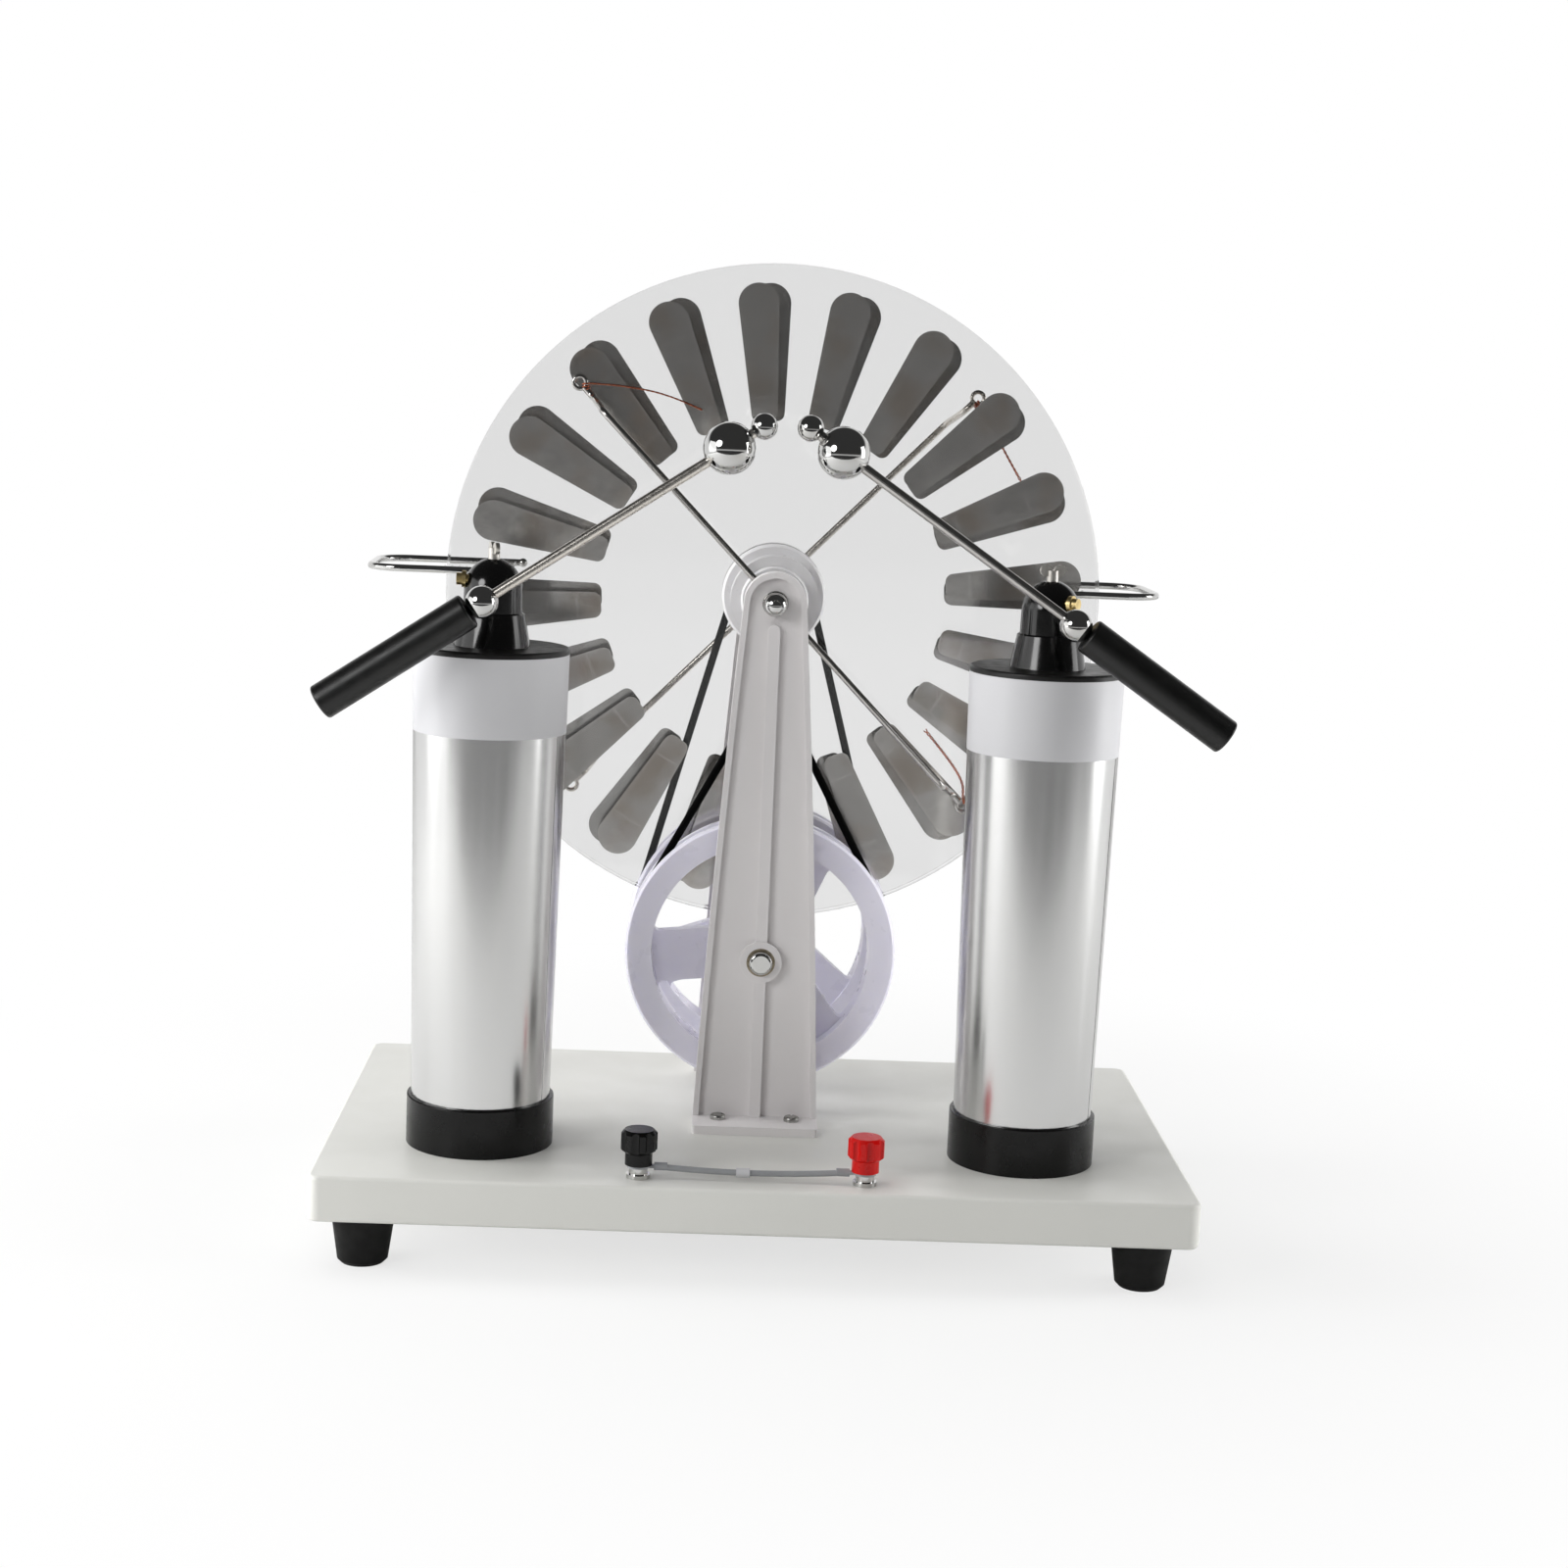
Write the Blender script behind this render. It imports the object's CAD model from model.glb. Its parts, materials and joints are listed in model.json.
import bpy
import bmesh
import json
import math
from mathutils import Matrix, Vector


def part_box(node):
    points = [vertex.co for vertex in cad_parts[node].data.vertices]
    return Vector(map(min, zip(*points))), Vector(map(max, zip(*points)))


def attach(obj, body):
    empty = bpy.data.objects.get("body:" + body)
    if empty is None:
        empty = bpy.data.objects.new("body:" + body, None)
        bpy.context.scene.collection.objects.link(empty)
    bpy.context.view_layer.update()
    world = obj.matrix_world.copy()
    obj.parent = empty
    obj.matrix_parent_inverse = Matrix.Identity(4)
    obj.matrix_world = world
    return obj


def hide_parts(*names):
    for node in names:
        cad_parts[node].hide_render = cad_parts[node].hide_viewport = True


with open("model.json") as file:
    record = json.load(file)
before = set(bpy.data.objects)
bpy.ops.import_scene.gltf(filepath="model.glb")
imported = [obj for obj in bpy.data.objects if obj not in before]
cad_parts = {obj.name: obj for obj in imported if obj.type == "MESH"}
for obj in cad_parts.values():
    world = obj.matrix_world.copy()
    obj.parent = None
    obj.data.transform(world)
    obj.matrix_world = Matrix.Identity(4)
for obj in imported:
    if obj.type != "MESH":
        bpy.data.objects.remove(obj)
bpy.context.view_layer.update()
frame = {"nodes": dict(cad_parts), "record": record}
scene = bpy.context.scene
print("frame loaded:", len(frame["nodes"]), "CAD nodes")


def hexColour(code):
    # sRGB hex to the linear colour that shaders use
    parts = [int(code[k:k + 2], 16) / 255 for k in (1, 3, 5)]
    return tuple(p / 12.92 if p <= 0.04045 else ((p + 0.055) / 1.055) ** 2.4 for p in parts) + (1.0,)


def openSocket(sockets, key):
    # a socket by its number, or by its name among those in use
    if isinstance(key, int):
        return sockets[key]
    return next(s for s in sockets if s.name == key and s.enabled)


def feed(tree, node, inputs):
    # sets a node's inputs, each from a value, a socket or the node that gives it
    for key, value in inputs.items():
        if isinstance(value, bpy.types.Node):
            value = next(s for s in value.outputs if s.enabled)
        if isinstance(value, bpy.types.NodeSocket):
            tree.links.new(value, openSocket(node.inputs, key))
        else:
            openSocket(node.inputs, key).default_value = value


def addNode(tree, kind, inputs=None, stops=None, **settings):
    # one node with its settings, its inputs and, on a colour ramp, its grey stops
    node = tree.nodes.new(kind)
    for name, value in settings.items():
        setattr(node, name, value)
    feed(tree, node, inputs or {})
    if stops:
        elements = node.color_ramp.elements
        while len(elements) < len(stops):
            elements.new(1.0)
        for element, (place, tone) in zip(elements, stops):
            element.position = place
            element.color = (tone, tone, tone, 1.0)
    return node


def calc(tree, operation, *values, **settings):
    return addNode(tree, "ShaderNodeMath", dict(enumerate(values)), operation=operation, **settings)


def remap(tree, value, source, target=(0.0, 1.0), smooth=False):
    # takes one span of values to another, along a straight line or a soft one
    return addNode(tree, "ShaderNodeMapRange", {
        "Value": value, "From Min": source[0], "From Max": source[1], "To Min": target[0],
        "To Max": target[1]}, interpolation_type="SMOOTHSTEP" if smooth else "LINEAR")


def noise(tree, where, sizeMm, detail, more=None):
    # noise whose pattern has this size in millimetres, on coordinates in metres
    return addNode(tree, "ShaderNodeTexNoise", {
        "Vector": where, "Scale": 1000.0 / sizeMm, "Detail": detail, **(more or {})})


def relief(tree, height, deepMm, under=None):
    # bump of this depth in millimetres, over another bump if there is one
    inputs = {"Height": height, "Distance": deepMm / 1000, "Strength": 1.0}
    return addNode(tree, "ShaderNodeBump", {**inputs, "Normal": under} if under else inputs)


def blend(tree, share, first, second):
    return addNode(tree, "ShaderNodeMix", {"Factor": share, "A": first, "B": second}, data_type="RGBA")


def startMaterial(name):
    # a bare material and what most finishes begin with: its tree, its shader and the object's
    # coordinates
    material = bpy.data.materials.new(name)
    material.use_nodes = True
    tree = material.node_tree
    tree.nodes.clear()
    shader = addNode(tree, "ShaderNodeBsdfPrincipled")
    addNode(tree, "ShaderNodeOutputMaterial", {"Surface": shader.outputs[0]})
    place = addNode(tree, "ShaderNodeTexCoord").outputs["Object"]
    return material, tree, shader, place


# Camera and studio

# place in metres, turns in degrees, lens and film in millimetres
cameraLook = {"place": (-0.0274, -1.1091, 0.3538), "yaw": 1.79, "pitch": 8.81, "roll": -2.45,
              "lens": 60.93, "film": 36.0, "nearest": 0.05}
studioLook = {
    "paper": (-0.95, -0.72, 0.95, 3.4),  # the white table top: left, front, right and back edges
    "paperColour": "#EDEDEC",
    "paperLift": 0.7,  # the part of the paper's white that a shadow can't take away
    "paperFade": (0.2, 0.5),  # metres from the middle over which the shadow gives way to white
    "wallWhite": 0.95,  # the wall behind, as gloss and metal show it
    "frontDark": 0.045,  # the room in front and above
    "wallWay": (0.0, 0.62, -0.95),  # from the dark room to the white wall
    "wallFade": (-0.16, 0.1),  # where on that way the dark turns white
    "strip": 0.58,  # a pale strip far in front that lights the lower leaves on the discs
    "stripLow": (-0.19, -0.15),  # sines of the angles over which it begins
    "stripHigh": (-0.062, -0.08),  # and ends, just under eye level
    "aimHeight": 0.2,  # what the lamps point at
}
# name: degrees left of the camera, degrees up, distance, width, height, watts, seen in reflections
softBoxes = {
    "left": (78, 7, 1.7, 1.25, 1.0, 5.5, True),
    "leftFront": (47, 21, 1.7, 0.7, 0.7, 9, True),
    "right": (-88, 8, 1.7, 0.6, 1.0, 5.8, True),
    "leftWash": (88, 10, 1.7, 0.9, 0.9, 19.5, False),
    "rightWash": (-92, 5, 1.7, 0.9, 0.9, 23, False),
    "leftTop": (105, 50, 1.4, 0.7, 0.7, 5, False),
    "overhead": (130, 72, 1.6, 1.4, 1.2, 8.5, False),
    "frontFill": (15, 24, 2.4, 1.6, 1.2, 7, False),
}


def aimCamera():
    # the camera that was fitted to the photograph
    yaw, pitch, roll = (math.radians(cameraLook[k]) for k in ("yaw", "pitch", "roll"))
    ahead = Vector((math.sin(yaw) * math.cos(pitch), math.cos(yaw) * math.cos(pitch), -math.sin(pitch)))
    side = Vector((math.cos(yaw), -math.sin(yaw), 0.0))
    down = ahead.cross(side)
    sideRolled = math.cos(roll) * side + math.sin(roll) * down
    downRolled = -math.sin(roll) * side + math.cos(roll) * down
    camera = bpy.data.objects.new("camera", bpy.data.cameras.new("camera"))
    scene.collection.objects.link(camera)
    turn = Matrix((sideRolled, -downRolled, -ahead)).transposed().to_4x4()
    camera.matrix_world = Matrix.Translation(cameraLook["place"]) @ turn
    camera.data.sensor_width = cameraLook["film"]
    camera.data.lens = cameraLook["lens"]
    camera.data.clip_start = cameraLook["nearest"]
    scene.camera = camera


def hangLights():
    for name, (left, up, distance, width, height, watts, shows) in softBoxes.items():
        lamp = bpy.data.lights.new(name, "AREA")
        lamp.shape = "ELLIPSE" if name == "leftFront" else "RECTANGLE"
        lamp.size, lamp.size_y = width, height
        lamp.energy = watts
        box = bpy.data.objects.new(name, lamp)
        turn, climb = math.radians(left), math.radians(up)
        back = Vector((-math.sin(turn) * math.cos(climb), -math.cos(turn) * math.cos(climb),
                       math.sin(climb)))
        box.location = Vector((0.0, 0.0, studioLook["aimHeight"])) + back * distance
        box.rotation_mode = "QUATERNION"
        box.rotation_quaternion = back.to_track_quat("Z", "Y")
        box.visible_glossy = shows
        scene.collection.objects.link(box)


def whiteShare(tree):
    # 1 for the rays that should find plain white: the camera's own and those through clear parts
    path = addNode(tree, "ShaderNodeLightPath").outputs
    return calc(tree, "MAXIMUM", path["Is Camera Ray"], path["Is Transmission Ray"])


def paintWorld():
    # a white wall behind and a dark room in front and above, which is what the polished balls show
    world = bpy.data.worlds.new("studio")
    scene.world = world
    world.use_nodes = True
    tree = world.node_tree
    tree.nodes.clear()
    way = addNode(tree, "ShaderNodeTexCoord").outputs["Generated"]
    lean = addNode(tree, "ShaderNodeVectorMath", {0: way, 1: studioLook["wallWay"]},
                   operation="DOT_PRODUCT")
    fade = remap(tree, lean, studioLook["wallFade"], (studioLook["frontDark"], studioLook["wallWhite"]),
                 smooth=True)
    height = addNode(tree, "ShaderNodeSeparateXYZ", {0: way}).outputs["Z"]
    rise = remap(tree, height, studioLook["stripLow"], smooth=True)
    fall = remap(tree, height, studioLook["stripHigh"], smooth=True)
    strip = calc(tree, "MULTIPLY", rise, fall)
    pale = calc(tree, "MULTIPLY", strip, studioLook["strip"])
    room = calc(tree, "MAXIMUM", fade, pale)
    strength = calc(tree, "MAXIMUM", room, whiteShare(tree))
    glow = addNode(tree, "ShaderNodeBackground", {"Color": (1.0, 1.0, 1.0, 1.0), "Strength": strength})
    addNode(tree, "ShaderNodeOutputWorld", {"Surface": glow})


def layFloor():
    # white paper on a table that ends in front, so upright metal shows the dark room past the paper's
    # edge; to the camera it fades to pure white away from the machine and keeps the shadow near it
    material, tree, shader, place = startMaterial("studioPaper")
    feed(tree, shader, {"Base Color": hexColour(studioLook["paperColour"]), "Roughness": 0.9,
                        "Specular IOR Level": 0.1})
    share = whiteShare(tree)
    distance = addNode(tree, "ShaderNodeVectorMath", {0: place}, operation="LENGTH")
    fade = remap(tree, distance, studioLook["paperFade"], (studioLook["paperLift"], 1.0), smooth=True)
    lift = calc(tree, "MULTIPLY", share, fade)
    glow = addNode(tree, "ShaderNodeEmission", {"Color": (1.0, 1.0, 1.0, 1.0)})
    both = addNode(tree, "ShaderNodeMixShader", {0: lift, 1: shader.outputs[0], 2: glow})
    feed(tree, tree.nodes["Material Output"], {"Surface": both})
    left, front, right, back = studioLook["paper"]
    mesh = bpy.data.meshes.new("studioFloor")
    corners = [(left, front, 0), (right, front, 0), (right, back, 0), (left, back, 0)]
    mesh.from_pydata(corners, [], [(0, 1, 2, 3)])
    floor = bpy.data.objects.new("studioFloor", mesh)
    floor.data.materials.append(material)
    scene.collection.objects.link(floor)


scene.view_settings.view_transform = "Standard"
aimCamera()
hangLights()
paintWorld()
layFloor()
print("camera, lights and floor set")


# Finishes

noiseSpan = (0.3, 0.7)  # nearly all of a noise lies between these
stainSpan = (0.42, 0.75)  # tarnish shows only where its noise is high
markSpan = (0.35, 0.72)  # and so do finger marks
edgeSpan = (0.995, 0.9)  # how far a rounded edge turns from its face: none to full
softReach = (0.003, 0.003, 0.0035)  # how far light spreads inside the pale plastics, in metres


def mouldedFinish(name, look):
    # plastic, rubber or paint: body colour that drifts a little, a grain, gloss that handling has
    # dulled in patches, and a worn or dusty tone on its edges
    material, tree, shader, place = startMaterial(name)
    drift = noise(tree, place, look["driftMm"], 3.0)
    body = blend(tree, drift, hexColour(look["colour"]), hexColour(look["shade"]))
    bevel = addNode(tree, "ShaderNodeBevel", {"Radius": look["edgeMm"] / 1000}, samples=4)
    flat = addNode(tree, "ShaderNodeNewGeometry")
    meet = addNode(tree, "ShaderNodeVectorMath", {0: bevel, 1: flat.outputs["Normal"]},
                   operation="DOT_PRODUCT")
    edge = remap(tree, meet, edgeSpan)
    patch = noise(tree, place, look["patchMm"], 5.0)
    wear = calc(tree, "MULTIPLY", edge, patch)
    worn = calc(tree, "MULTIPLY", wear, look["wear"], use_clamp=True)
    colour = blend(tree, worn, body, hexColour(look["wornColour"]))
    gloss = remap(tree, patch, noiseSpan, (look["smooth"], look["dull"]))
    grain = noise(tree, place, look["grainMm"], 2.0)
    feed(tree, shader, {"Base Color": colour, "Roughness": gloss,
                        "Normal": relief(tree, grain, look["grainDeep"]), "IOR": look.get("ior", 1.5)})
    if "soft" in look:
        feed(tree, shader, {"Subsurface Weight": look["soft"], "Subsurface Radius": softReach,
                            "Subsurface Scale": 1.0})
    return material


def metalFinish(name, look):
    # bare or plated metal: a tint that tarnish warms in patches, gloss dulled by finger marks, and the
    # fine lines left by grinding, turning or polishing, long in the direction given by stretch
    material, tree, shader, place = startMaterial(name)
    stain = noise(tree, place, look["stainMm"], 4.0)
    share = remap(tree, stain, stainSpan, (0.0, look["tarnish"]))
    tint = blend(tree, share, hexColour(look["colour"]), hexColour(look["tarnishColour"]))
    mark = noise(tree, place, look["markMm"], 6.0, {"Roughness": 0.62})
    gloss = remap(tree, mark, markSpan, (look["smooth"], look["dull"]))
    along = addNode(tree, "ShaderNodeMapping", {"Vector": place, "Scale": look["stretch"]})
    line = noise(tree, along, look["lineMm"], 3.0)
    feed(tree, shader, {"Base Color": tint, "Roughness": gloss, "Metallic": 1.0,
                        "Normal": relief(tree, line, look["lineDeep"])})
    return material


# sizes and depths in these looks are millimetres; wear is how much the worn colour shows on edges
plasticLooks = {
    # satin board with a wrapped or sprayed off-white skin: even, a soft sheen, slightly grubby corners
    "wrappedBoard": {"colour": "#DDDDD8", "shade": "#D8D8D3", "driftMm": 60, "patchMm": 14,
                     "edgeMm": 1.2, "wear": 0.9, "wornColour": "#BDBBB3", "smooth": 0.34,
                     "dull": 0.5, "grainMm": 1.6, "grainDeep": 0.012},
    # satin enamel over cast uprights: faint orange peel and paler rubbed corners
    "enamelCasting": {"colour": "#E6E3E3", "shade": "#DFDCDC", "driftMm": 35, "patchMm": 9,
                      "edgeMm": 0.9, "wear": 0.8, "wornColour": "#EDEBEB", "smooth": 0.3,
                      "dull": 0.46, "grainMm": 1.3, "grainDeep": 0.014},
    # injection-moulded ABS wheels, lilac white and slightly see-through at thin places
    "lilacAbs": {"colour": "#EEECF7", "shade": "#E6E4F2", "driftMm": 28, "patchMm": 8,
                 "edgeMm": 0.8, "wear": 0.5, "wornColour": "#E2E1EE", "smooth": 0.24, "dull": 0.38,
                 "grainMm": 2.4, "grainDeep": 0.012, "soft": 0.35},
    # pale moulded hubs on the discs
    "paleAbs": {"colour": "#E4E3E4", "shade": "#DCDBDC", "driftMm": 22, "patchMm": 7, "edgeMm": 0.7,
                "wear": 0.5, "wornColour": "#C9C7C5", "smooth": 0.26, "dull": 0.42, "grainMm": 1.8,
                "grainDeep": 0.01, "soft": 0.1},
    # polished black phenolic: deep black, sharp window-like highlights, hairline dulling
    "blackPhenolic": {"colour": "#060606", "shade": "#0A0A0A", "driftMm": 20, "patchMm": 6,
                      "edgeMm": 0.5, "wear": 0.35, "wornColour": "#3A3A3C", "smooth": 0.11,
                      "dull": 0.19, "grainMm": 2.0, "grainDeep": 0.004, "ior": 1.58},
    # moulded satin black grips, lids and knob: the same black with a wide dim highlight
    "blackSatin": {"colour": "#080808", "shade": "#0D0D0C", "driftMm": 18, "patchMm": 5,
                   "edgeMm": 0.5, "wear": 0.4, "wornColour": "#3C3B37", "smooth": 0.3, "dull": 0.44,
                   "grainMm": 0.9, "grainDeep": 0.012},
    # moulded jar cups and black cap: the same black with little reflection in front
    "blackMoulded": {"colour": "#060606", "shade": "#090909", "driftMm": 18, "patchMm": 5,
                     "edgeMm": 0.5, "wear": 0.3, "wornColour": "#30302E", "smooth": 0.2,
                     "dull": 0.3, "grainMm": 1.2, "grainDeep": 0.008, "ior": 1.34},
    # moulded rubber feet: dull black, dusty grey on the rims
    "mouldedRubber": {"colour": "#080808", "shade": "#0D0D0C", "driftMm": 12, "patchMm": 5,
                      "edgeMm": 0.8, "wear": 0.3, "wornColour": "#34322F", "smooth": 0.55,
                      "dull": 0.72, "grainMm": 0.7, "grainDeep": 0.02, "ior": 1.34},
    # extruded round belt: matt black with almost no shine
    "beltRubber": {"colour": "#060606", "shade": "#0B0B0B", "driftMm": 10, "patchMm": 4,
                   "edgeMm": 0.4, "wear": 0.15, "wornColour": "#232221", "smooth": 0.4,
                   "dull": 0.55, "grainMm": 0.8, "grainDeep": 0.015, "ior": 1.08},
    # moulded ABS cap of the red post: deep red, softly glossy
    "redAbs": {"colour": "#C00804", "shade": "#B20603", "driftMm": 9, "patchMm": 3, "edgeMm": 0.3,
               "wear": 0.15, "wornColour": "#CC3A30", "smooth": 0.26, "dull": 0.38, "grainMm": 0.8,
               "grainDeep": 0.008, "ior": 1.36},
    # smooth white film round the top of each jar
    "whiteFilm": {"colour": "#C8C8CA", "shade": "#C4C4C7", "driftMm": 40, "patchMm": 12,
                  "edgeMm": 0.3, "wear": 0.3, "wornColour": "#B4B4B6", "smooth": 0.34, "dull": 0.4,
                  "grainMm": 3.5, "grainDeep": 0.01},
    # grey insulated lead between the posts
    "greyInsulation": {"colour": "#9A9C9E", "shade": "#8C8E91", "driftMm": 9, "patchMm": 3,
                       "edgeMm": 0.3, "wear": 0.4, "wornColour": "#A9AAAC", "smooth": 0.34,
                       "dull": 0.5, "grainMm": 0.8, "grainDeep": 0.01},
}
metalLooks = {
    # bright chrome over polished steel: a mirror with faint wipe marks
    "polishedChrome": {"colour": "#CBCBCA", "tarnishColour": "#B9B4AC", "tarnish": 0.35,
                       "stainMm": 14, "markMm": 4, "smooth": 0.035, "dull": 0.11,
                       "stretch": (1.0, 1.0, 1.0), "lineMm": 1.6, "lineDeep": 0.0006},
    # nickel-plated rod: a little warmer and softer than chrome, with drawn lines
    "nickelRod": {"colour": "#C6C4C1", "tarnishColour": "#9D9A95", "tarnish": 0.5, "stainMm": 12,
                  "markMm": 3, "smooth": 0.12, "dull": 0.22, "stretch": (1.0, 1.0, 1.0),
                  "lineMm": 2.2, "lineDeep": 0.0008},
    # fresh nickel plate on the rods that catch the side light: paler and softer than chrome
    "paleNickel": {"colour": "#E4DFD8", "tarnishColour": "#B8B2A9", "tarnish": 0.4, "stainMm": 12,
                   "markMm": 3, "smooth": 0.22, "dull": 0.32, "stretch": (1.0, 1.0, 1.0),
                   "lineMm": 2.2, "lineDeep": 0.0008},
    # nickel-plated wing screws: pale, blurred reflections
    "satinNickel": {"colour": "#E4E1DB", "tarnishColour": "#B5B0A7", "tarnish": 0.5, "stainMm": 4,
                    "markMm": 2, "smooth": 0.34, "dull": 0.48, "stretch": (1.0, 1.0, 1.0),
                    "lineMm": 0.8, "lineDeep": 0.003},
    # ground steel shafts and studs: pale, blurred along the grinding lines
    "groundSteel": {"colour": "#C4C4C2", "tarnishColour": "#A39E96", "tarnish": 0.5, "stainMm": 9,
                    "markMm": 3, "smooth": 0.18, "dull": 0.34, "stretch": (1.0, 0.12, 1.0),
                    "lineMm": 0.7, "lineDeep": 0.004},
    # zinc-plated screws: dull silver with a dark bloom
    "zincPlate": {"colour": "#B9B9B6", "tarnishColour": "#77756F", "tarnish": 0.8, "stainMm": 2.5,
                  "markMm": 1.5, "smooth": 0.25, "dull": 0.45, "stretch": (1.0, 1.0, 1.0),
                  "lineMm": 0.8, "lineDeep": 0.006},
    # turned brass terminals: pale yellow, dulled in patches
    "turnedBrass": {"colour": "#E2CC94", "tarnishColour": "#B2975C", "tarnish": 0.5, "stainMm": 3,
                    "markMm": 2, "smooth": 0.3, "dull": 0.45, "stretch": (0.1, 1.0, 1.0),
                    "lineMm": 0.7, "lineDeep": 0.003},
    # sintered bronze bush: porous, brownish
    "sinteredBronze": {"colour": "#A59A86", "tarnishColour": "#6C6355", "tarnish": 0.8,
                       "stainMm": 2, "markMm": 1, "smooth": 0.38, "dull": 0.6,
                       "stretch": (1.0, 1.0, 1.0), "lineMm": 0.7, "lineDeep": 0.01},
    # bare copper strand: bright orange on the turns, brown between them
    "bareCopper": {"colour": "#C9775A", "tarnishColour": "#7A3B2C", "tarnish": 0.85, "stainMm": 2.2,
                   "markMm": 1.2, "smooth": 0.25, "dull": 0.45, "stretch": (1.0, 1.0, 1.0),
                   "lineMm": 0.7, "lineDeep": 0.004},
}


def axleDistance(tree, place):
    # how far a point is from the discs' axle
    centred = addNode(tree, "ShaderNodeVectorMath", {0: place, 1: (0.0, 0.0, -axleHeight)},
                      operation="ADD")
    away = addNode(tree, "ShaderNodeVectorMath", {0: centred, 1: (1.0, 0.0, 1.0)}, operation="MULTIPLY")
    return addNode(tree, "ShaderNodeVectorMath", {0: away}, operation="LENGTH")


# the index is under acrylic's 1.49 because the real discs mirror little of the pale floor
acrylicLook = {"tint": "#F2F2F2", "shadowTint": "#FCFCFC", "ior": 1.32, "swirlMm": 1.1,
               "swirlDeep": 0.002, "warp": (0.12, 0.12, 0.12), "dustMm": 18, "dustSpan": (0.2, 0.42),
               "dull": 0.06}


def acrylicFinish(look):
    # cast acrylic sheet: clear with a trace of grey, tiny swirl scratches round the axle and dust that
    # dulls it a little; light from the lamps and what metal and gloss reflect pass straight through it
    material, tree, shader, place = startMaterial("castAcrylic")
    rings = addNode(tree, "ShaderNodeCombineXYZ", {"X": axleDistance(tree, place)})
    warped = addNode(tree, "ShaderNodeVectorMath", {0: place, 1: look["warp"]}, operation="MULTIPLY")
    joined = addNode(tree, "ShaderNodeVectorMath", {0: rings, 1: warped}, operation="ADD")
    swirl = noise(tree, joined, look["swirlMm"], 4.0)
    dust = noise(tree, place, look["dustMm"], 6.0, {"Roughness": 0.7})
    both = calc(tree, "MULTIPLY", swirl, dust)
    haze = remap(tree, both, look["dustSpan"], (0.0, look["dull"]))
    feed(tree, shader, {"Base Color": hexColour(look["tint"]), "Transmission Weight": 1.0,
                        "IOR": look["ior"], "Roughness": haze,
                        "Normal": relief(tree, swirl, look["swirlDeep"])})
    path = addNode(tree, "ShaderNodeLightPath").outputs
    through = addNode(tree, "ShaderNodeBsdfTransparent", {"Color": hexColour(look["shadowTint"])})
    plain = calc(tree, "MAXIMUM", path["Is Shadow Ray"], path["Is Reflection Ray"])
    mixed = addNode(tree, "ShaderNodeMixShader", {0: plain, 1: shader, 2: through})
    feed(tree, tree.nodes["Material Output"], {"Surface": mixed})
    return material


# metres and degrees: the wrap ends at the right of each jar, whose radius grows with height from the
# cup's rim
jarLook = {"x": 0.111, "aside": -0.002, "y": -0.0546, "seam": 70.0, "rim": 0.0584, "low": 0.02815,
           "taper": 0.0152}
# millimetres, but for the angles in radians from the wrap's end where the creases die out
wrapLook = {"colour": "#D2D2D1", "paleColour": "#DCDCDC", "smooth": 0.2, "dull": 0.25, "lineMm": 5,
            "lineDeep": 0.02, "lineStretch": (1.0, 1.0, 0.02), "creaseMm": 6, "creaseDeep": 0.07,
            "creaseStretch": (1.0, 1.0, 0.12), "creaseSpan": (0.1, 0.5), "calm": 0.06}


def jarFoilFinish(look):
    # thin bright foil wrapped round a tube: a soft mirror blurred by rolling lines, smooth in front,
    # with shallow creases where the wrap ends
    material, tree, shader, place = startMaterial("wrappedFoil")
    spot = addNode(tree, "ShaderNodeSeparateXYZ", {0: place})
    side = calc(tree, "SIGN", spot.outputs["X"])
    jarX = calc(tree, "MULTIPLY_ADD", side, jarLook["x"], jarLook["aside"])
    fromX = calc(tree, "SUBTRACT", spot.outputs["X"], jarX)
    fromY = calc(tree, "SUBTRACT", jarLook["y"], spot.outputs["Y"])
    angle = calc(tree, "ARCTAN2", fromX, fromY)
    off = calc(tree, "SUBTRACT", angle, math.radians(jarLook["seam"]))
    gap = calc(tree, "ABSOLUTE", off)
    near = remap(tree, gap, look["creaseSpan"], (1.0, look["calm"]), smooth=True)
    upright = addNode(tree, "ShaderNodeMapping", {"Vector": place, "Scale": look["lineStretch"]})
    line = noise(tree, upright, look["lineMm"], 2.0)
    slow = addNode(tree, "ShaderNodeMapping", {"Vector": place, "Scale": look["creaseStretch"]})
    crease = noise(tree, slow, look["creaseMm"], 3.0, {"Distortion": 0.6})
    tone = blend(tree, line, hexColour(look["colour"]), hexColour(look["paleColour"]))
    gloss = remap(tree, line, noiseSpan, (look["smooth"], look["dull"]))
    raised = calc(tree, "MULTIPLY", crease, near)
    deep = relief(tree, raised, look["creaseDeep"])
    feed(tree, shader, {"Base Color": tone, "Roughness": gloss, "Metallic": 1.0,
                        "Normal": relief(tree, line, look["lineDeep"], deep)})
    return material


leafLook = {
    "darkColour": "#A6A4A1", "lightColour": "#E4E2DF", "warmColour": "#9C8F82",
    "rubbedColour": "#D8D7D4",
    "metal": 0.8,  # the rest stands for the dull oxide on the foil
    "warmSpan": (0.46, 0.66), "warmShare": 0.6, "rubbedShare": 0.3, "stainMm": 22, "smooth": 0.12,
    "dull": 0.2, "lineMm": 0.9, "lineDeep": 0.008, "lineStretch": (1.0, 1.0, 0.1), "crinkleMm": 7,
    "crinkleDeep": 0.04,
    "ringSpan": (0.070, 0.135),  # metres from the axle over which the next line's shares run
    "rings": [(0.0, 0.0), (0.195, 0.0), (0.212, 1.0), (0.229, 0.0), (0.67, 0.0), (0.69, 0.8),
              (0.71, 0.0)],
}


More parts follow.
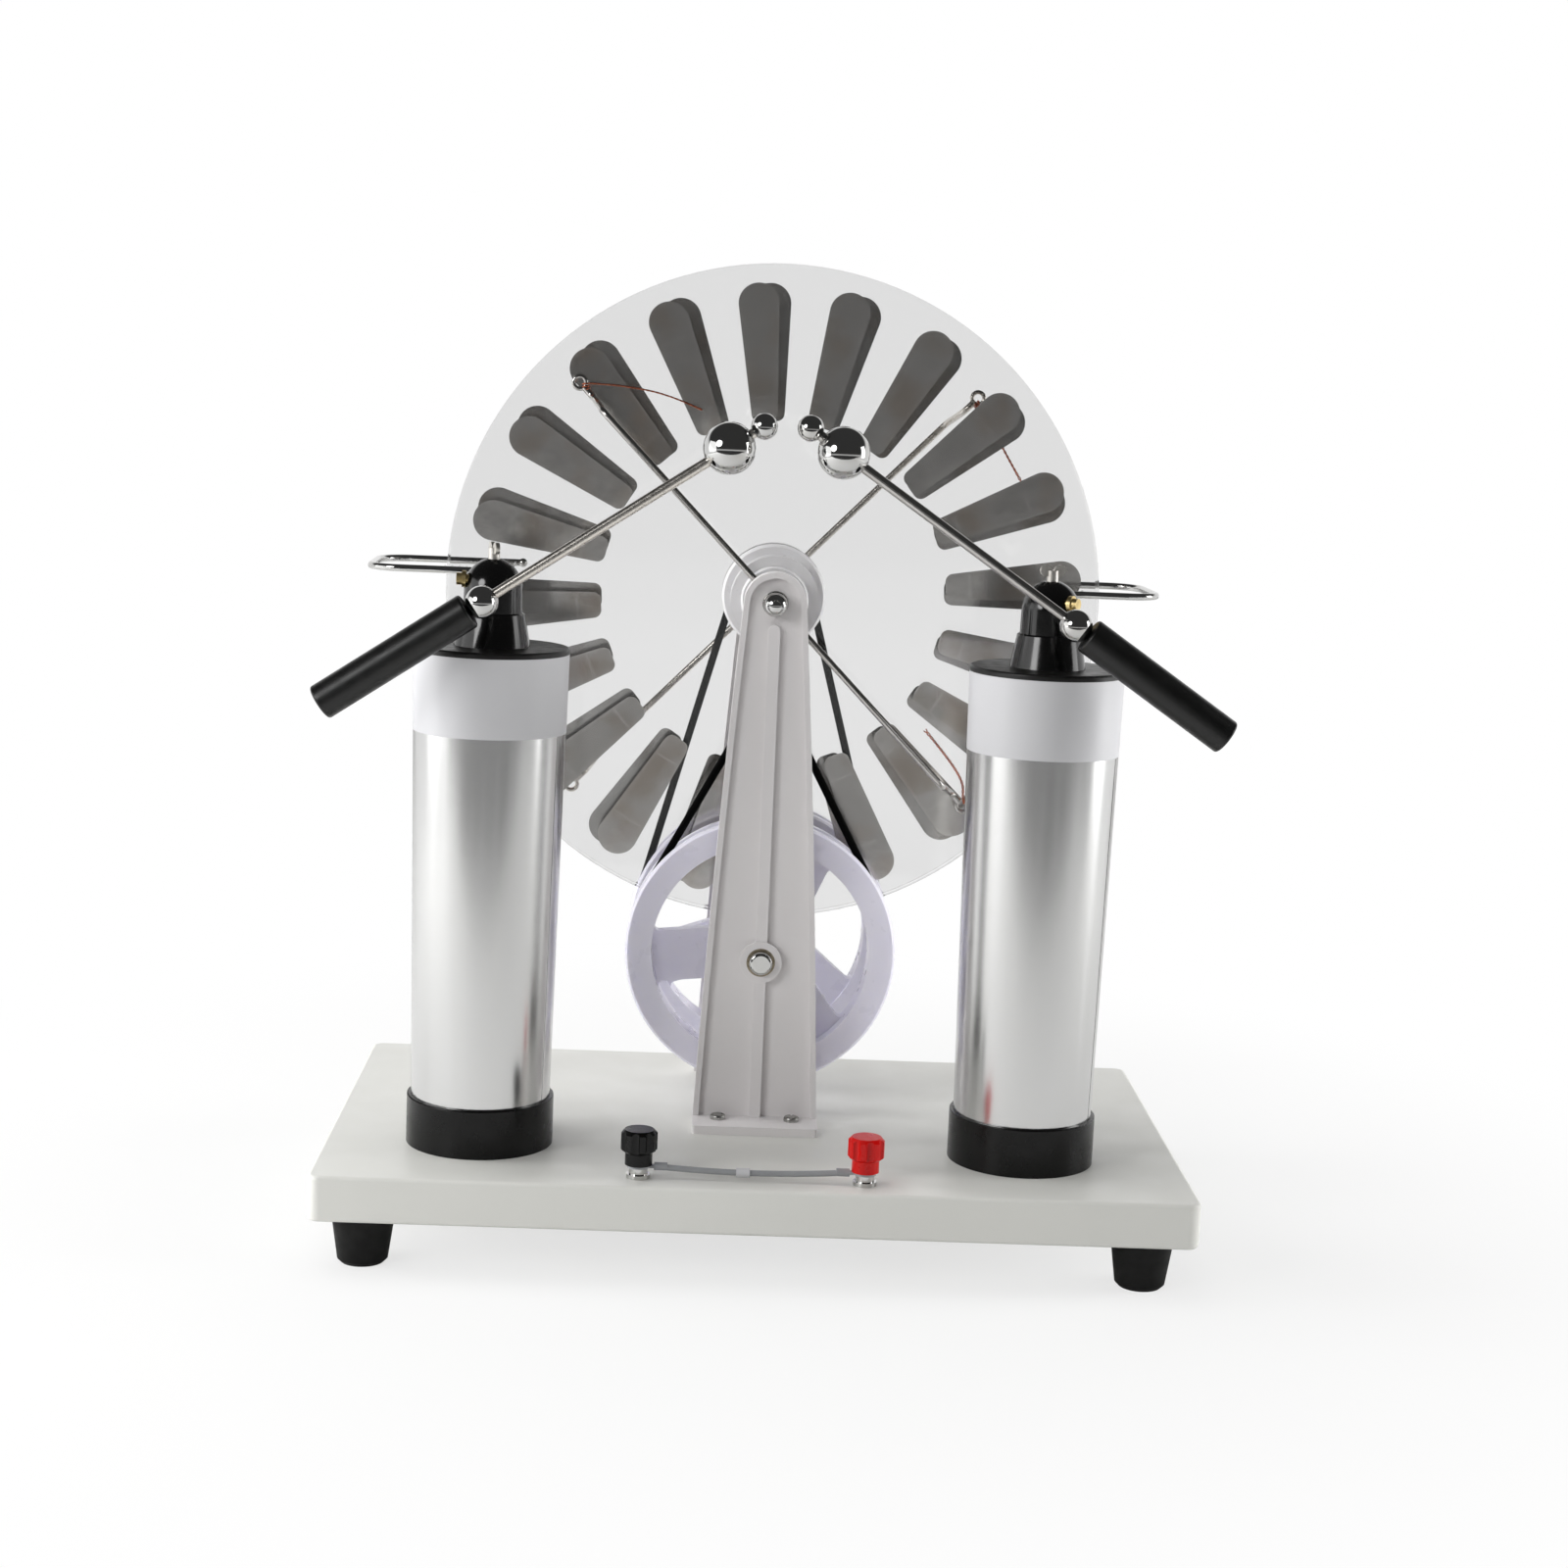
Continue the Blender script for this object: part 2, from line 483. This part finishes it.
def sectorFoilFinish(look):
    # hand-cut aluminium foil glued to the disc: dull rolled grey, each piece a little different, paler
    # round its pressed-down edge, with two faint rings that the brushes have rubbed
    material, tree, shader, place = startMaterial("sectorFoil")
    tone = addNode(tree, "ShaderNodeAttribute", attribute_name="tone")
    rim = addNode(tree, "ShaderNodeAttribute", attribute_name="rim")
    radius = remap(tree, axleDistance(tree, place), look["ringSpan"])
    marks = addNode(tree, "ShaderNodeValToRGB", {"Fac": radius}, stops=look["rings"])
    stain = noise(tree, place, look["stainMm"], 4.0)
    body = blend(tree, tone.outputs["Fac"], hexColour(look["darkColour"]),
                 hexColour(look["lightColour"]))
    warm = remap(tree, stain, look["warmSpan"], (0.0, look["warmShare"]))
    warmed = blend(tree, warm, body, hexColour(look["warmColour"]))
    pale = calc(tree, "MAXIMUM", marks.outputs["Color"], rim.outputs["Fac"])
    share = calc(tree, "MULTIPLY", pale, look["rubbedShare"])
    colour = blend(tree, share, warmed, hexColour(look["rubbedColour"]))
    rolled = addNode(tree, "ShaderNodeMapping", {"Vector": place, "Scale": look["lineStretch"]})
    line = noise(tree, rolled, look["lineMm"], 3.0)
    gloss = remap(tree, stain, noiseSpan, (look["smooth"], look["dull"]))
    crinkle = noise(tree, place, look["crinkleMm"], 3.0)
    deep = relief(tree, crinkle, look["crinkleDeep"])
    feed(tree, shader, {"Base Color": colour, "Roughness": gloss, "Metallic": look["metal"],
                        "Normal": relief(tree, line, look["lineDeep"], deep)})
    return material


axleLow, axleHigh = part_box("upper_axle")
axleHeight = (axleLow.z + axleHigh.z) / 2
finishes = {name: mouldedFinish(name, look) for name, look in plasticLooks.items()}
finishes.update({name: metalFinish(name, look) for name, look in metalLooks.items()})
finishes["castAcrylic"] = acrylicFinish(acrylicLook)
finishes["wrappedFoil"] = jarFoilFinish(wrapLook)
finishes["sectorFoil"] = sectorFoilFinish(leafLook)
print("finishes made:", len(finishes))

# the finish of each CAD slot, and of the nodes whose slot covers more than one finish
slotFinish = {
    "pale_board": "wrappedBoard", "black_rubber": "mouldedRubber", "screw_steel": "zincPlate",
    "grey_paint": "enamelCasting", "bronze": "sinteredBronze", "chrome_plate": "polishedChrome",
    "steel_rod": "groundSteel", "black_plastic": "blackSatin", "red_plastic": "redAbs",
    "clear_acrylic": "castAcrylic", "metal_foil": "sectorFoil", "jar_foil": "wrappedFoil",
    "lilac_plastic": "lilacAbs", "belt_rubber": "beltRubber", "copper_wire": "bareCopper",
    "white_sleeve": "whiteFilm", "white_plastic": "paleAbs", "brass": "turnedBrass",
    "cable": "greyInsulation",
}
nodeFinish = {
    "head_left": "blackPhenolic", "head_right": "blackPhenolic", "clamp_screws": "satinNickel",
    "jar_cups": "blackMoulded", "black_cap": "blackMoulded", "arm_rod_left": "paleNickel",
    "arm_rod_right": "nickelRod", "front_neutralizer": "nickelRod", "rear_neutralizer": "paleNickel",
}
for part in frame["record"]["subparts"]:
    node = frame["nodes"][part["node"]]
    finish = nodeFinish.get(part["node"], slotFinish[part["material_slot"]])
    node.material_slots[0].material = finishes[finish]
print("CAD nodes finished")


# Pieces grown with Geometry Nodes

def startTree(name, inputs):
    tree = bpy.data.node_groups.new(name, "GeometryNodeTree")
    for label, kind in inputs:
        tree.interface.new_socket(name=label, in_out="INPUT", socket_type=kind)
    tree.interface.new_socket(name="Geometry", in_out="OUTPUT", socket_type="NodeSocketGeometry")
    return tree, addNode(tree, "NodeGroupInput").outputs


# metres between points that count as one, in a grown mesh and where a face was pressed out
weldGap, pressGap = 0.000002, 0.000001


def growPiece(name, tree, values, body, start=None):
    # runs a tree once and keeps its result as a plain closed mesh that rides on a body
    source = bpy.data.objects.new(name + "Start", start or bpy.data.meshes.new(name + "Start"))
    scene.collection.objects.link(source)
    modifier = source.modifiers.new("grow", "NODES")
    modifier.node_group = tree
    for socket in tree.interface.items_tree:
        if socket.in_out == "INPUT" and socket.name in values:
            modifier[socket.identifier] = values[socket.name]
    bpy.context.view_layer.update()
    depsgraph = bpy.context.evaluated_depsgraph_get()
    mesh = bpy.data.meshes.new_from_object(source.evaluated_get(depsgraph), depsgraph=depsgraph)
    bpy.data.objects.remove(source)
    shape = bmesh.new()
    shape.from_mesh(mesh)
    bmesh.ops.remove_doubles(shape, verts=shape.verts, dist=weldGap)
    bmesh.ops.recalc_face_normals(shape, faces=shape.faces)
    shape.to_mesh(mesh)
    shape.free()
    piece = bpy.data.objects.new(name, mesh)
    scene.collection.objects.link(piece)
    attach(piece, body)
    print("grown:", name, len(mesh.polygons), "faces")
    return piece


# metres and degrees
sectorLook = {
    "count": 20, "inner": 0.0735, "outer": 0.1314, "innerWidth": 0.0106, "outerWidth": 0.0172,
    "corner": 0.0032, "frontPhase": 5.2, "rearPhase": 2.8, "frontSeed": 11, "rearSeed": 29,
    "frontTones": (0.0, 0.45), "rearTones": (0.6, 1.0),  # the rear leaves show their glued, paler side
    "glue": 0.00002,  # the hair that keeps foil and disc from sharing a face
    "steps": (41, 11),  # points along a leaf and across it
    "rimSpan": (0.72, 0.98),  # from the middle line to the edge, where the pressed-down rim shows
}


def sectorTree():
    # one leaf: a grid drawn out along the radius, narrowed to its outline at each step, given a
    # back, then set round the axle
    tree, given = startTree("foilSectorRing", [
        ("Count", "NodeSocketInt"), ("Inner Radius", "NodeSocketFloat"),
        ("Outer Radius", "NodeSocketFloat"), ("Inner Width", "NodeSocketFloat"),
        ("Outer Width", "NodeSocketFloat"), ("Corner", "NodeSocketFloat"),
        ("Thickness", "NodeSocketFloat"), ("Phase", "NodeSocketFloat"),
        ("Face Y", "NodeSocketFloat"), ("Axle Height", "NodeSocketFloat"),
        ("Seed", "NodeSocketInt"), ("Palest", "NodeSocketFloat"), ("Darkest", "NodeSocketFloat"),
        ("Finish", "NodeSocketMaterial")])
    grid = addNode(tree, "GeometryNodeMeshGrid",
                   {"Size X": 1.0, "Size Y": 2.0, "Vertices X": sectorLook["steps"][0],
                    "Vertices Y": sectorLook["steps"][1]})
    spot = addNode(tree, "ShaderNodeSeparateXYZ", {0: addNode(tree, "GeometryNodeInputPosition")})
    share = calc(tree, "ADD", spot.outputs["X"], 0.5)
    # steps lie closer together at both rounded ends
    swing = calc(tree, "MULTIPLY", share, math.pi)
    wave = calc(tree, "COSINE", swing)
    eased = calc(tree, "MULTIPLY_ADD", wave, -0.5, 0.5)
    long = calc(tree, "SUBTRACT", given["Outer Radius"], given["Inner Radius"])
    radius = calc(tree, "MULTIPLY_ADD", eased, long, given["Inner Radius"])
    outerHalf = calc(tree, "MULTIPLY", given["Outer Width"], 0.5)
    innerHalf = calc(tree, "MULTIPLY", given["Inner Width"], 0.5)
    turnAt = calc(tree, "SUBTRACT", given["Outer Radius"], outerHalf)
    half = addNode(tree, "ShaderNodeMapRange", {"Value": radius, "From Min": given["Inner Radius"],
                                                "From Max": turnAt, "To Min": innerHalf,
                                                "To Max": outerHalf})
    past = addNode(tree, "ShaderNodeMapRange", {"Value": radius, "From Min": turnAt,
                                                "From Max": given["Outer Radius"], "To Min": 0.0,
                                                "To Max": 1.0})
    pastSquare = calc(tree, "MULTIPLY", past, past)
    left = calc(tree, "SUBTRACT", 1.0, pastSquare, use_clamp=True)
    roundOuter = calc(tree, "SQRT", left)
    cornerEnd = calc(tree, "ADD", given["Inner Radius"], given["Corner"])
    near = addNode(tree, "ShaderNodeMapRange", {"Value": radius, "From Min": given["Inner Radius"],
                                                "From Max": cornerEnd, "To Min": 1.0, "To Max": 0.0})
    nearSquare = calc(tree, "MULTIPLY", near, near)
    nearLeft = calc(tree, "SUBTRACT", 1.0, nearSquare, use_clamp=True)
    nearRoot = calc(tree, "SQRT", nearLeft)
    nearCut = calc(tree, "SUBTRACT", 1.0, nearRoot)
    cut = calc(tree, "MULTIPLY", nearCut, given["Corner"])
    rounded = calc(tree, "MULTIPLY", half, roundOuter)
    reach = calc(tree, "SUBTRACT", rounded, cut)
    across = calc(tree, "MULTIPLY", spot.outputs["Y"], reach)
    # how near a point is to the outline, kept for the material
    sideways = calc(tree, "ABSOLUTE", spot.outputs["Y"])
    ends = calc(tree, "MAXIMUM", past, near)
    nearest = calc(tree, "MAXIMUM", sideways, ends)
    rim = remap(tree, nearest, sectorLook["rimSpan"], smooth=True)
    marked = addNode(tree, "GeometryNodeStoreNamedAttribute",
                     {"Geometry": grid, "Name": "rim", "Value": rim}, data_type="FLOAT", domain="POINT")
    spread = addNode(tree, "ShaderNodeCombineXYZ", {"X": radius, "Y": 0.0, "Z": across})
    leaf = addNode(tree, "GeometryNodeSetPosition", {"Geometry": marked, "Position": spread})
    turned = addNode(tree, "GeometryNodeFlipFaces", {0: leaf})
    raised = addNode(tree, "GeometryNodeExtrudeMesh", {
        "Mesh": leaf, "Offset": addNode(tree, "ShaderNodeCombineXYZ", {"Y": given["Thickness"]}),
        "Offset Scale": 1.0, "Individual": False})
    joined = addNode(tree, "GeometryNodeJoinGeometry")
    tree.links.new(raised.outputs["Mesh"], joined.inputs[0])
    tree.links.new(turned.outputs[0], joined.inputs[0])
    closed = addNode(tree, "GeometryNodeMergeByDistance",
                     {"Geometry": joined, "Distance": pressGap})
    middle = addNode(tree, "GeometryNodePoints", {"Count": given["Count"]})
    index = addNode(tree, "GeometryNodeInputIndex")
    step = calc(tree, "DIVIDE", -2 * math.pi, given["Count"])
    turn = calc(tree, "MULTIPLY_ADD", index, step, given["Phase"])
    spin = addNode(tree, "ShaderNodeCombineXYZ", {"Y": turn})
    ring = addNode(tree, "GeometryNodeInstanceOnPoints",
                   {"Points": middle, "Instance": closed, "Rotation": spin})
    tint = addNode(tree, "FunctionNodeRandomValue", {"Min": given["Darkest"], "Max": given["Palest"],
                                                     "Seed": given["Seed"]}, data_type="FLOAT")
    toned = addNode(tree, "GeometryNodeStoreNamedAttribute",
                    {"Geometry": ring, "Name": "tone", "Value": tint}, data_type="FLOAT",
                    domain="INSTANCE")
    real = addNode(tree, "GeometryNodeRealizeInstances", {0: toned})
    seat = addNode(tree, "ShaderNodeCombineXYZ",
                   {"X": 0.0, "Y": given["Face Y"], "Z": given["Axle Height"]})
    seated = addNode(tree, "GeometryNodeSetPosition", {"Geometry": real, "Offset": seat})
    flat = addNode(tree, "GeometryNodeSetShadeSmooth", {0: seated, "Shade Smooth": False})
    finish = addNode(tree, "GeometryNodeSetMaterial", {"Geometry": flat, "Material": given["Finish"]})
    addNode(tree, "NodeGroupOutput", {0: finish})
    return tree


ringTree = sectorTree()
for side, gap in (("front", 0.0), ("rear", sectorLook["glue"])):
    low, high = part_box(side + "_sectors")
    darkest, palest = sectorLook[side + "Tones"]
    ring = growPiece(side + "FoilSectors", ringTree, {
        "Count": sectorLook["count"], "Inner Radius": sectorLook["inner"],
        "Outer Radius": sectorLook["outer"], "Inner Width": sectorLook["innerWidth"],
        "Outer Width": sectorLook["outerWidth"], "Corner": sectorLook["corner"],
        "Thickness": high.y - low.y - sectorLook["glue"], "Face Y": low.y + gap,
        "Phase": -math.radians(sectorLook[side + "Phase"]), "Axle Height": axleHeight,
        "Seed": sectorLook[side + "Seed"], "Darkest": darkest, "Palest": palest,
        "Finish": finishes["sectorFoil"]}, "disc_" + side)
    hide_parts(side + "_sectors")

# metres; the eyes and tips are Y values, the opening is how far apart the strands end
brushLook = {"strand": 0.00026, "apart": 0.00028, "pitch": 0.0042, "turns": 2.25, "loop": 0.0015,
             "lap": 0.00115, "perTurn": 8, "eye": 0.0026, "frontEye": 0.0135, "frontTip": 0.01915,
             "rearEye": 0.0373, "rearTip": 0.03165, "steps": 220, "sides": 8, "opensAt": 0.9,
             "opening": 1.7}


def wireTree():
    # two thin strands twisted round each other along a curve, opening a little at the free end
    tree, given = startTree("twistedCopper", [
        ("Geometry", "NodeSocketGeometry"), ("Strand Radius", "NodeSocketFloat"),
        ("Apart", "NodeSocketFloat"), ("Pitch", "NodeSocketFloat"),
        ("Finish", "NodeSocketMaterial")])
    line = addNode(tree, "GeometryNodeResampleCurve",
                   {"Curve": given["Geometry"], "Count": brushLook["steps"]})
    along = addNode(tree, "GeometryNodeSplineParameter")
    turns = calc(tree, "DIVIDE", along.outputs["Length"], given["Pitch"])
    normal = addNode(tree, "GeometryNodeInputNormal")
    ahead = addNode(tree, "GeometryNodeInputTangent")
    across = addNode(tree, "ShaderNodeVectorMath", {0: ahead, 1: normal}, operation="CROSS_PRODUCT")
    opened = remap(tree, along.outputs["Factor"], (brushLook["opensAt"], 1.0),
                   (1.0, brushLook["opening"]))
    size = addNode(tree, "GeometryNodeInputRadius")
    spread = calc(tree, "MULTIPLY", opened, size)
    reach = calc(tree, "MULTIPLY", spread, given["Apart"])
    ring = addNode(tree, "GeometryNodeCurvePrimitiveCircle",
                   {"Resolution": brushLook["sides"], "Radius": given["Strand Radius"]})
    both = addNode(tree, "GeometryNodeJoinGeometry")
    for half in (0.0, math.pi):
        angle = calc(tree, "MULTIPLY_ADD", turns, 2 * math.pi, half)
        cosine = calc(tree, "COSINE", angle)
        sine = calc(tree, "SINE", angle)
        first = addNode(tree, "ShaderNodeVectorMath", {0: normal, "Scale": cosine}, operation="SCALE")
        second = addNode(tree, "ShaderNodeVectorMath", {0: across, "Scale": sine}, operation="SCALE")
        out = addNode(tree, "ShaderNodeVectorMath", {0: first, 1: second}, operation="ADD")
        offset = addNode(tree, "ShaderNodeVectorMath", {0: out, "Scale": reach}, operation="SCALE")
        moved = addNode(tree, "GeometryNodeSetPosition", {"Geometry": line, "Offset": offset})
        tube = addNode(tree, "GeometryNodeCurveToMesh",
                       {"Curve": moved, "Profile Curve": ring, "Fill Caps": True})
        tree.links.new(tube.outputs[0], both.inputs[0])
    real = addNode(tree, "GeometryNodeRealizeInstances", {0: both})
    smooth = addNode(tree, "GeometryNodeSetShadeSmooth", {0: real})
    finish = addNode(tree, "GeometryNodeSetMaterial", {"Geometry": smooth, "Material": given["Finish"]})
    addNode(tree, "NodeGroupOutput", {0: finish})
    return tree


def polar(radius, angle, y):
    # a point at this radius and angle in degrees round the discs' axle
    turn = math.radians(angle)
    return Vector((radius * math.cos(turn), y, axleHeight + radius * math.sin(turn)))


def brushLine(curve, route, angle, eyeY, tipY, thick):
    # a few turns round the rod's eye, then down to the foil
    points = [polar(radius, angle + lean, eyeY) for radius, lean in route]
    away = (points[1] - points[0]).normalized()
    side = Vector((-away.z, 0.0, away.x))
    knot = points[0] + away * brushLook["eye"]
    toFoil = Vector((0.0, math.copysign(1.0, tipY - eyeY), 0.0))
    path = []
    for k in range(-int(brushLook["turns"] * brushLook["perTurn"]), 1):
        turns = k / brushLook["perTurn"]
        spin = 2 * math.pi * turns
        lap = away * math.cos(spin) + toFoil * math.sin(spin)
        path.append(knot + lap * brushLook["loop"] + side * brushLook["lap"] * turns)
    count = len(points) - 1
    for k in range(1, count + 1):
        share = math.sin(math.pi / 2 * k / count)
        points[k].y = eyeY + (tipY - eyeY) * share
        path.append(points[k])
    spline = curve.splines.new("NURBS")
    spline.points.add(len(path) - 1)
    for point, spot in zip(spline.points, path):
        point.co = (*spot, 1.0)
        point.radius = thick
    spline.order_u = 3
    spline.use_endpoint_u = True


# how thick each brush is, then its route as radius in mm and degrees from the rod
brushRoutes = {
    "low": (1.3, (121.0, 0.0), (114.0, 3.6), (101.0, 5.2), (87.0, 6.4)),
    "high": (0.5, (121.0, 0.0), (108.0, -7.0), (95.0, -15.0), (84.0, -21.0)),
    "side": (1.0, (121.0, 0.0), (117.5, -6.5), (116.0, -12.5), (116.5, -19.0)),
}
# which route is used at each end of the two rods, and the rod's angle there in degrees
brushEnds = {"front": (("low", -45.6), ("high", 134.4)), "rear": (("side", 45.8), ("side", 225.8))}
twistTree = wireTree()
for side, ends in brushEnds.items():
    curve = bpy.data.curves.new(side + "BrushLine", "CURVE")
    curve.dimensions = "3D"
    for name, angle in ends:
        thick, *stops = brushRoutes[name]
        route = [(radius / 1000, lean) for radius, lean in stops]
        brushLine(curve, route, angle, brushLook[side + "Eye"], brushLook[side + "Tip"], thick)
    wire = growPiece(side + "CopperBrushes", twistTree, {
        "Strand Radius": brushLook["strand"], "Apart": brushLook["apart"], "Pitch": brushLook["pitch"],
        "Finish": finishes["bareCopper"]}, "neutral_" + side, start=curve)
    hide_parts(side + "_brushes")

# metres, but for the waves of its edge in each metre
seamLook = {"width": 0.0042, "thick": 0.00012, "wander": 0.0011, "waves": 60.0, "start": 0.0586,
            "end": 0.2072, "seed": 3.0, "steps": (90, 6)}


def seamTree():
    # the loose end of the foil: a narrow strip up the jar whose edge wanders, standing a hair off
    # the wrap
    tree, given = startTree("foilSeam", [
        ("Jar X", "NodeSocketFloat"), ("Jar Y", "NodeSocketFloat"), ("Angle", "NodeSocketFloat"),
        ("Width", "NodeSocketFloat"), ("Thickness", "NodeSocketFloat"),
        ("Wander", "NodeSocketFloat"), ("Start Height", "NodeSocketFloat"),
        ("End Height", "NodeSocketFloat"), ("Rim Height", "NodeSocketFloat"),
        ("Rim Radius", "NodeSocketFloat"), ("Taper", "NodeSocketFloat"),
        ("Seed", "NodeSocketFloat"), ("Finish", "NodeSocketMaterial")])
    grid = addNode(tree, "GeometryNodeMeshGrid",
                   {"Size X": 1.0, "Size Y": 1.0, "Vertices X": seamLook["steps"][0],
                    "Vertices Y": seamLook["steps"][1]})
    spot = addNode(tree, "ShaderNodeSeparateXYZ", {0: addNode(tree, "GeometryNodeInputPosition")})
    share = calc(tree, "ADD", spot.outputs["X"], 0.5)
    height = addNode(tree, "ShaderNodeMapRange",
                     {"Value": share, "From Min": 0.0, "From Max": 1.0, "To Min": given["Start Height"],
                      "To Max": given["End Height"]})
    above = calc(tree, "SUBTRACT", height, given["Rim Height"])
    radius = calc(tree, "MULTIPLY_ADD", above, given["Taper"], given["Rim Radius"])
    wave = calc(tree, "MULTIPLY_ADD", height, seamLook["waves"], given["Seed"])
    wobble = addNode(tree, "ShaderNodeTexNoise", {"W": wave, "Scale": 1.0, "Detail": 4.0},
                     noise_dimensions="1D")
    drift = calc(tree, "SUBTRACT", wobble, 0.5)
    edge = calc(tree, "ADD", spot.outputs["Y"], 0.5)
    wander = calc(tree, "MULTIPLY", drift, given["Wander"])
    loose = calc(tree, "MULTIPLY", wander, edge)
    flat = calc(tree, "MULTIPLY_ADD", spot.outputs["Y"], given["Width"], loose)
    bend = calc(tree, "DIVIDE", flat, radius)
    angle = calc(tree, "ADD", bend, given["Angle"])
    sine = calc(tree, "SINE", angle)
    x = calc(tree, "MULTIPLY_ADD", sine, radius, given["Jar X"])
    minus = calc(tree, "MULTIPLY", radius, -1.0)
    cosine = calc(tree, "COSINE", angle)
    y = calc(tree, "MULTIPLY_ADD", cosine, minus, given["Jar Y"])
    place = addNode(tree, "ShaderNodeCombineXYZ", {"X": x, "Y": y, "Z": height})
    strip = addNode(tree, "GeometryNodeSetPosition", {"Geometry": grid, "Position": place})
    fromX = calc(tree, "SUBTRACT", x, given["Jar X"])
    fromY = calc(tree, "SUBTRACT", y, given["Jar Y"])
    outward = addNode(tree, "ShaderNodeCombineXYZ", {"X": fromX, "Y": fromY})
    straight = addNode(tree, "ShaderNodeVectorMath", {0: outward}, operation="NORMALIZE")
    offset = addNode(tree, "ShaderNodeVectorMath", {0: straight, "Scale": given["Thickness"]},
                     operation="SCALE")
    turned = addNode(tree, "GeometryNodeFlipFaces", {0: strip})
    kept = addNode(tree, "GeometryNodeStoreNamedAttribute",
                   {"Geometry": strip, "Name": "lift", "Value": offset}, data_type="FLOAT_VECTOR",
                   domain="POINT")
    lift = addNode(tree, "GeometryNodeInputNamedAttribute", {"Name": "lift"}, data_type="FLOAT_VECTOR")
    lifted = addNode(tree, "GeometryNodeExtrudeMesh", {
        "Mesh": kept, "Offset": lift, "Offset Scale": 1.0, "Individual": False})
    joined = addNode(tree, "GeometryNodeJoinGeometry")
    tree.links.new(lifted.outputs["Mesh"], joined.inputs[0])
    tree.links.new(turned.outputs[0], joined.inputs[0])
    closed = addNode(tree, "GeometryNodeMergeByDistance",
                     {"Geometry": joined, "Distance": pressGap})
    real = addNode(tree, "GeometryNodeRealizeInstances", {0: closed})
    finish = addNode(tree, "GeometryNodeSetMaterial", {"Geometry": real, "Material": given["Finish"]})
    addNode(tree, "NodeGroupOutput", {0: finish})
    return tree


seamGroup = seamTree()
for side, sign in (("left", -1), ("right", 1)):
    growPiece(side + "FoilSeam", seamGroup, {
        "Jar X": sign * jarLook["x"] + jarLook["aside"], "Jar Y": jarLook["y"],
        "Angle": math.radians(jarLook["seam"]), "Width": seamLook["width"],
        "Thickness": seamLook["thick"], "Wander": seamLook["wander"], "Start Height": seamLook["start"],
        "End Height": seamLook["end"], "Rim Height": jarLook["rim"], "Rim Radius": jarLook["low"],
        "Taper": jarLook["taper"], "Seed": seamLook["seed"] * sign,
        "Finish": finishes["wrappedFoil"]}, "base")

print("size written")
